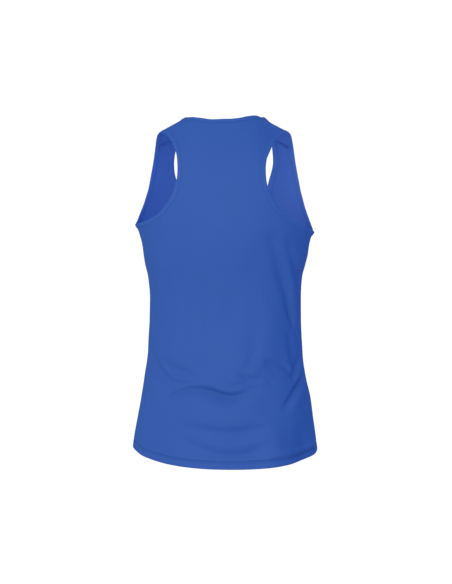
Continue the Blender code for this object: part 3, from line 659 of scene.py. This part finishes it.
# as BACK_CREASES, but lean widens the upper side of a line listed from left to right
FRONT_CREASES = [
    # trough from the left underarm
    (0.0, [(184, -216, 0, 15), (172, -236, -3, 15), (146, -286, -4, 14), (128, -340, -4, 13),
           (122, -396, -3, 12), (124, -430, 0, 12)]),
    # ridge beside it
    (0.0, [(152, -216, 0, 14), (134, -256, 2.5, 14), (112, -304, 3, 14), (98, -352, 3, 13),
           (90, -420, 2, 13), (92, -456, 0, 13)]),
    # second trough
    (0.0, [(110, -210, 0, 16), (92, -256, -2.5, 16), (72, -320, -3, 15), (60, -384, -2.5, 14),
           (60, -430, 0, 14)]),
    # trough from the right underarm
    (0.0, [(-176, -216, 0, 14), (-160, -248, -3.5, 14), (-140, -290, -4, 13),
           (-118, -344, -4, 12), (-108, -396, -3, 11), (-108, -430, 0, 11)]),
    # ridge beside it
    (0.0, [(-142, -216, 0, 15), (-124, -256, 2.5, 14), (-104, -308, 3, 13), (-92, -360, 3, 13),
           (-80, -430, 2, 12), (-78, -462, 0, 12)]),
    # shallow trough below the scoop
    (0.0, [(-26, -200, 0, 15), (-32, -240, -2, 15), (-38, -290, -2.5, 14), (-35, -340, -1.5, 14),
           (-30, -380, 0, 14)]),
    # long crease falling from the left side
    (0.3, [(196, -446, 0, 12), (174, -464, -3.5, 12), (138, -488, -4.5, 11), (96, -500, -4.5, 10),
           (48, -498, -4, 10), (12, -506, -3, 10), (-6, -514, 0, 10)]),
    # roll below it
    (0.0, [(180, -484, 0, 14), (148, -504, 2.5, 14), (110, -520, 2.5, 14), (60, -530, 2.5, 14),
           (10, -532, 0, 14)]),
    # long crease falling from the right side
    (0.3, [(-200, -456, 0, 11), (-180, -474, -3, 11), (-142, -498, -4.5, 10),
           (-98, -520, -4.5, 10), (-52, -530, -4, 10), (-12, -524, -3, 10), (4, -516, 0, 10)]),
    # small bowed crease above it
    (0.0, [(-12, -462, 0, 11), (-30, -472, -2.5, 10), (-60, -480, -3, 10), (-92, -468, 0, 10)]),
    # bowed crease above the hem
    (0.3, [(96, -576, 0, 15), (60, -588, -2.5, 14), (20, -594, -2.5, 14), (-24, -590, -2.5, 14),
           (-60, -580, 0, 14)]),
    # broad wave towards the hem, left
    (0.0, [(122, -550, 0, 18), (116, -596, 2, 18), (114, -640, 2, 18), (116, -690, 0, 18)]),
    # broad wave towards the hem, right
    (0.0, [(-98, -540, 0, 20), (-104, -580, 2, 20), (-102, -630, 2, 20), (-98, -690, 0, 20)]),
    # faint trough by the middle
    (0.0, [(28, -190, 0, 14), (32, -220, -1.5, 14), (33, -260, -1.8, 14), (28, -306, 0, 14)])]
crease_lines += [(lean, crease_line(nodes, True)) for lean, nodes in FRONT_CREASES]

front = make_panel("front_panel", front=True)
front.data.materials.append(panel_knit)
front.data.materials.append(inside_knit)
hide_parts("front")

# ----------------------------------------
# Bindings. Strips of the same knit cut along the cloth, sewn to the neck and to each armhole and
# folded over the raw edge, so that 9 mm shows outside and a little more inside.

# section of a folded strip: distance from the finished edge, lift; it starts on the outside of
# the panel, comes up over a flat crown, rounds the edge and ends on the panel's inside
FOLDED = np.array([
    (9.2, -0.05), (9.0, 0.28), (8.4, 0.45), (7.4, 0.52), (5.2, 0.56), (2.6, 0.50), (1.1, 0.34),
    (0.3, -0.05), (0.0, -0.52), (0.3, -1.0), (1.1, -1.36), (2.6, -1.50), (5.2, -1.54),
    (8.2, -1.52), (10.2, -1.46), (10.8, -1.2), (11.0, -0.85)])
CROWN, UNDERSIDE = 6, 14    # rows of that section on the outside crown, and below it
TURNED = 9            # row from which the strip shows its turned-in face
WAVES = ((0.07, 7.3), (0.06, 11.9))   # pucker between stitches: height, wavelength
PLY = 0.4             # thickness of the strip, drawn down by the fold
binding_knit = interlock("interlock binding strip", "#2C59AB", "#2A55A4")


def make_binding(name, node, runs):
    """Section of the folded strip carried round a finished edge, puckered by two sine waves."""
    edge = ring(runs)
    arrows = into_cloth(edge)
    count, corners = len(edge), len(FOLDED)
    path = figure(*edge.T)
    hops = np.linalg.norm(np.roll(path, -1, 0) - path, axis=1)
    length = np.concatenate([[0], np.cumsum(hops)])
    pucker = sum(high * np.sin(2 * pi * length[:-1] / wave) for high, wave in WAVES)
    lines = []
    for depth, lift in FOLDED:
        around, girth = move_in(edge, arrows, depth).T
        raised = lift + pucker * np.sin(pi * min(depth / 9, 1))
        lines.append(cloth(around, girth) + outward(around, girth, cloth) * raised[:, None])
    points = np.stack(lines, 1)
    i = np.arange(count)[:, None] * corners
    j = (np.arange(count)[:, None] + 1) % count * corners
    k = np.arange(corners - 1)[None]
    faces = np.stack([i + k, j + k, j + k + 1, i + k + 1], -1).reshape(-1, 4)
    first, second = points[0], points[1]
    facing = np.cross(second[CROWN] - first[CROWN], first[CROWN + 1] - first[CROWN])
    if facing @ (first[CROWN] - first[UNDERSIDE]) < 0:
        faces = faces[:, ::-1]
    steps = np.concatenate([[0], np.cumsum(np.linalg.norm(np.diff(FOLDED, axis=0), axis=1))])
    uv = np.stack(np.broadcast_arrays(steps[None], length[:-1, None]), -1).reshape(-1, 2)
    strip = make_mesh(name, points, faces, uv, PLY)
    strip.data.materials.append(binding_knit)
    strip.data.materials.append(inside_knit)
    leaf = np.tile(np.arange(corners - 1) >= TURNED, count).astype(np.int32)
    strip.data.polygons.foreach_set("material_index", leaf)
    strip.modifiers[0].material_offset = 0
    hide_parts(node)


make_binding("neck_binding_folded", "neck_binding", neck)
make_binding("armhole_binding_left_folded", "armhole_binding_left", arm_left)
make_binding("armhole_binding_right_folded", "armhole_binding_right", arm_right)

# ----------------------------------------
# Seam allowances. Each side and shoulder seam is overlocked inside: the two raw edges lie together
# on the back panel as a narrow tape, under a row of thread that wraps over their edge.
TAPE, TAPE_THICK = 7.0, 0.25  # width of an allowance, and thickness of its pressed edge
# section of a tape: share of its width, height inwards from the knit's inner face
TAPE_SECTION = np.array([(0, 0.2), (0.06, 0.9), (0.3, 1.15), (0.6, 1.1), (0.9, 0.95), (1.0, 0.3)])
TAPE_MIDDLE = 3       # row of that section under the overlock thread
# where a tape lies: aside of a side seam, above the hem's fold and past a shoulder seam; and how
# far from the armhole and the neck a shoulder tape ends
TAPE_ASIDE, TAPE_FOOT, TAPE_PAST, TAPE_INSET = 0.4, 16, 0.3, 11.0
THREAD = 0.16         # radius of sewing thread
DIP = 0.42            # how far the ends of a stitch dip below its middle
SIDES, RINGS = 6, 5   # corners round a stitch, and rings along it


def thread(name, colour):
    """Spun polyester thread: matt, with a fine diagonal twist in its bump, so it never glints."""
    spun = bpy.data.materials.new(name)
    spun.use_nodes = True
    tree = spun.node_tree
    shader = tree.nodes["Principled BSDF"]
    spot = add_node(tree, "ShaderNodeTexCoord")
    twist = add_node(tree, "ShaderNodeTexWave", {"Vector": spot.outputs["Object"], "Scale": 600,
                                                 "Distortion": 2}, bands_direction="DIAGONAL")
    bump = add_node(tree, "ShaderNodeBump", {"Height": twist.outputs[1], "Distance": 0.0001})
    tree.links.new(bump.outputs[0], shader.inputs["Normal"])
    shader.inputs["Base Color"].default_value = linear(colour)
    shader.inputs["Roughness"].default_value = 0.7
    return spun


def along_path(points, outs, pitch, closed):
    """Places, directions and outward arrows at equal steps, straight between a path's points."""
    if closed:
        points, outs = np.vstack([points, points[:1]]), np.vstack([outs, outs[:1]])
    length = np.concatenate([[0], np.cumsum(np.linalg.norm(np.diff(points, axis=0), axis=1))])
    count = int(length[-1] / pitch)
    want = (np.arange(count) + 0.5) * length[-1] / count
    place = np.stack([np.interp(want, length, points[:, k]) for k in range(3)], -1)
    ahead = np.stack([np.interp(want + 0.5, length, points[:, k]) for k in range(3)], -1)
    behind = np.stack([np.interp(want - 0.5, length, points[:, k]) for k in range(3)], -1)
    out = unit(np.stack([np.interp(want, length, outs[:, k]) for k in range(3)], -1))
    return place, unit(ahead - behind), out


def make_stitches(name, place, along, out, reach, finish):
    """Short arched tubes, each a power curve whose ends dip into the cloth, capped flat."""
    t = np.linspace(-1, 1, RINGS)
    rise = THREAD * 1.2 - DIP * t**4
    thick = THREAD * np.array([0.7, 1, 1.05, 1, 0.7])
    turn = np.arange(SIDES) * 2 * pi / SIDES
    across = np.cross(along, out)
    spine = (place[:, None] + along[:, None] * (t * reach / 2)[None, :, None]
             + out[:, None] * rise[None, :, None])
    points = (spine[:, :, None]
              + across[:, None, None] * (thick[:, None] * np.cos(turn))[None, :, :, None]
              + out[:, None, None] * (thick[:, None] * np.sin(turn))[None, :, :, None])
    ring_of, side_of = np.meshgrid(np.arange(RINGS - 1), np.arange(SIDES), indexing="ij")
    here = ring_of * SIDES + side_of
    beside = ring_of * SIDES + (side_of + 1) % SIDES
    tube = np.stack([here, beside, beside + SIDES, here + SIDES], -1).reshape(-1, 4)
    first_cap = np.array([(0, 3, 2, 1), (0, 5, 4, 3)])
    last_cap = np.array([(0, 1, 2, 3), (0, 3, 4, 5)]) + (RINGS - 1) * SIDES
    pattern = np.vstack([tube, first_cap, last_cap])
    starts = np.arange(len(place)) * RINGS * SIDES
    faces = (pattern[None] + starts[:, None, None]).reshape(-1, 4)
    row = make_mesh(name, points, faces)
    row.data.materials.append(finish)


def make_tape(name, start, stop, width, count):
    """The tape's section carried straight between two chart points, inside the back."""
    v = np.linspace(0, 1, count + 1)[:, None]
    u, high = TAPE_SECTION.T
    corners = len(u)
    around = start[0] + (stop[0] - start[0]) * v + width[0] * u
    girth = start[1] + (stop[1] - start[1]) * v + width[1] * u
    points = cloth(around, girth, np.broadcast_to(-KNIT - high, around.shape))
    i = np.arange(count)[:, None] * corners + np.arange(corners - 1)
    faces = np.stack([i, i + 1, i + corners + 1, i + corners], -1).reshape(-1, 4)
    uv = np.stack([around, girth], -1).reshape(-1, 2)
    tape = make_mesh(name, points, faces, uv, TAPE_THICK)
    tape.data.materials.append(inside_knit)
    line = around[:, TAPE_MIDDLE], girth[:, TAPE_MIDDLE]
    place, along, out = along_path(points[:, TAPE_MIDDLE], -outward(*line, figure), 1.9, False)
    across = unit(np.cross(along, out) + 0.25 * along)
    make_stitches(name + "_overlock", place, across, out, TAPE * 0.98, overlock_thread)


overlock_thread = thread("spun polyester overlock thread", "#3C60B4")
for label, sign, armhole, seam in (("left", 1, ARM_LEFT, SEAM_LEFT[::-1]),
                                   ("right", -1, ARM_RIGHT, SEAM_RIGHT)):
    beside_seam = sign * (END - TAPE_ASIDE)
    above_hem = hem_girth(np.array(sign * END), False) + TAPE_FOOT
    make_tape(f"side_seam_{label}", (beside_seam, above_hem), (beside_seam, armhole[0][1] - UNDER),
              (-sign * TAPE / SIDE_SCALE, 0), count=160)
    ends = [(at, float(shoulder_line(np.array(at))) + TAPE_PAST)
            for at in (seam[0][0] - sign * TAPE_INSET, seam[1][0] + sign * TAPE_INSET)]
    make_tape(f"shoulder_seam_{label}", *ends, (0, -TAPE / OVER_SCALE), count=14)

# ----------------------------------------
# Topstitching. The hem is closed by a twin-needle coverstitch: two sunk rows outside and a looper
# thread that zigzags over the raw edge inside. A single fine row holds each binding down.
stitch_thread = thread("spun polyester sewing thread", "#2A4892")
HEM_SUNK = (-0.4, -0.55)      # lift of the two rows outside
# step between stitches and length of one; before them, the looper's height above the fold and how
# far a binding's row lies in from the edge
OUTSIDE_STEP, OUTSIDE_REACH = 2.9, 2.5
LOOPER_UP, LOOPER_STEP, LOOPER_REACH = 14.4, 1.45, 3.6
BINDING_IN, BINDING_STEP, BINDING_REACH = 7.7, 2.6, 2.2


def hem_line(above, lift):
    """The hem's own curve once round the body, at a height above the fold."""
    round_back = np.linspace(-END, END, 500)[:-1]
    paths = []
    for front_side, around in ((False, round_back), (True, -round_back)):
        girth = hem_girth(around, front_side) + (-above if front_side else above)
        raised = np.full(around.shape, lift) + seam_ditch(around, girth)
        paths.append((cloth(around, girth, raised), outward(around, girth, figure)))
    return np.vstack([p for p, _ in paths]), np.vstack([n for _, n in paths])


rows = []
for above, sunk in zip(HEM_STITCH, HEM_SUNK):
    line, out = hem_line(above, sunk + 0.1)
    rows.append(along_path(line, out, OUTSIDE_STEP, True))
place, along, out = (np.vstack(parts) for parts in zip(*rows))
make_stitches("hem_coverstitch", place, along, out, OUTSIDE_REACH, stitch_thread)
line, out = hem_line(LOOPER_UP, -HEM_PLY - 0.1)
place, along, out = along_path(line, -out, LOOPER_STEP, True)
zigzag = np.where(np.arange(len(place)) % 2, 1, -1)[:, None]
across = unit(np.cross(along, out) * zigzag + 0.3 * along)
make_stitches("hem_looper", place, across, out, LOOPER_REACH, stitch_thread)

for name, runs in (("neck_stitching", neck), ("armhole_stitching_left", arm_left),
                   ("armhole_stitching_right", arm_right)):
    edge = ring(runs)
    around, girth = move_in(edge, into_cloth(edge), BINDING_IN).T
    out = outward(around, girth, cloth)
    place, along, out = along_path(cloth(around, girth) + out * 0.5, out, BINDING_STEP, True)
    make_stitches(name, place, along, out, BINDING_REACH, stitch_thread)

# ----------------------------------------
# Studio. A pale floor far below, where a wearer would stand, a broad soft light above the camera,
# another before the vest, and a pale sky all round; the picture's ground is white.
SHOULDER_HEIGHT, FLOOR_RADIUS, FLOOR_CORNERS = 1450.0, 2450.0, 96
angle = np.linspace(0, 2 * pi, FLOOR_CORNERS, endpoint=False)
rim = np.stack([FLOOR_RADIUS * np.cos(angle), FLOOR_RADIUS * np.sin(angle)], -1)
ground = make_mesh("floor", np.insert(rim, 2, -SHOULDER_HEIGHT, 1), [range(FLOOR_CORNERS)])
paint = bpy.data.materials.new("matt pale paint")
paint.use_nodes = True
shader = paint.node_tree.nodes["Principled BSDF"]
shader.inputs["Base Color"].default_value = linear("#E4E5E6")
shader.inputs["Roughness"].default_value = 0.9
ground.data.materials.append(paint)

SKY_LEVEL, GROUND_LEVEL = 1.1, 1.05   # strength of the sky, and of the white that is seen
SKY_TINT = "#FFFEF8"
# colour of the sky along each axis, from -1 to 1, times the tint and each other. It dims, through
# blue, on the wearer's right, a little in front and a little above and below.
SKY = {"X": ((-1, "#1030B4"), (-0.8, "#D4DCF4"), (-0.5, "#F8FAFD"), (1, "#FFFFFF")),
       "Y": ((-1, "#F4F6FC"), (0.1, "#FFFFFF")),
       "Z": ((-0.7, "#DCE3F5"), (-0.1, "#FFFFFF"), (1, "#DDE4F5"))}
world = bpy.data.worlds.new("studio")
bpy.context.scene.world = world
world.use_nodes = True
tree = world.node_tree
tree.nodes.clear()
seen = add_node(tree, "ShaderNodeBackground", {"Color": linear("#FFFFFF"),
                                               "Strength": GROUND_LEVEL})
sky = add_node(tree, "ShaderNodeTexCoord")
split = add_node(tree, "ShaderNodeSeparateXYZ", {0: sky.outputs["Generated"]})
tone = linear(SKY_TINT)[:3]
for axis, stops in SKY.items():
    share = add_node(tree, "ShaderNodeMapRange", {"Value": split.outputs[axis], "From Min": -1.0})
    ramp = add_node(tree, "ShaderNodeValToRGB", {0: share.outputs[0]})
    ramp.color_ramp.interpolation = "EASE"
    for _ in stops[2:]:
        ramp.color_ramp.elements.new(0.5)
    for stop, (where, colour) in zip(ramp.color_ramp.elements, stops):
        stop.position = (where + 1) / 2
        stop.color = linear(colour)
    tone = add_node(tree, "ShaderNodeVectorMath", {0: tone, 1: ramp.outputs[0]},
                    operation="MULTIPLY").outputs[0]
lights_by = add_node(tree, "ShaderNodeBackground", {"Color": tone, "Strength": SKY_LEVEL})
ray = add_node(tree, "ShaderNodeLightPath")
by_ray = add_node(tree, "ShaderNodeMixShader", {0: ray.outputs["Is Camera Ray"],
                                                1: lights_by.outputs[0], 2: seen.outputs[0]})
add_node(tree, "ShaderNodeOutputWorld", {"Surface": by_ray.outputs[0]})


def soft_light(name, place, aim, size, watts):
    """Square area light at a place, turned to a point, sizes in metres."""
    lamp = bpy.data.lights.new(name, "AREA")
    lamp.shape = "SQUARE"
    lamp.size = size
    lamp.energy = watts
    holder = bpy.data.objects.new(name, lamp)
    holder.location = place
    away = np.array(place) - np.array(aim)
    holder.rotation_euler = (np.arccos(away[2] / np.linalg.norm(away)), 0,
                             np.arctan2(away[1], away[0]) + pi / 2)
    bpy.context.scene.collection.objects.link(holder)


soft_light("key", place=(0.2, 3.0, 0.6), aim=(0, 0, -0.35), size=2.4, watts=15.5)
soft_light("front", place=(-1.2, -2.6, 1.2), aim=(0, 0, -0.35), size=2.0, watts=16)

# camera: level, 2.8 m behind the vest, 2 mm of cloth to a pixel of the 452 x 584 frame
DISTANCE, MM_PER_PIXEL, FRAME_TALL = 2800.0, 2.0, 584
MIDDLE_X, MIDDLE_Z = -2.0, -330.6     # what is in the middle of the frame
camera = bpy.data.cameras.new("camera")
camera.sensor_width = 36
camera.lens = 36 * DISTANCE / (FRAME_TALL * MM_PER_PIXEL)
stand = bpy.data.objects.new("camera", camera)
stand.location = (MIDDLE_X / 1000, DISTANCE / 1000, MIDDLE_Z / 1000)
stand.rotation_euler = (pi / 2, 0, pi)
bpy.context.scene.collection.objects.link(stand)
bpy.context.scene.camera = stand
bpy.context.scene.view_settings.view_transform = "Standard"
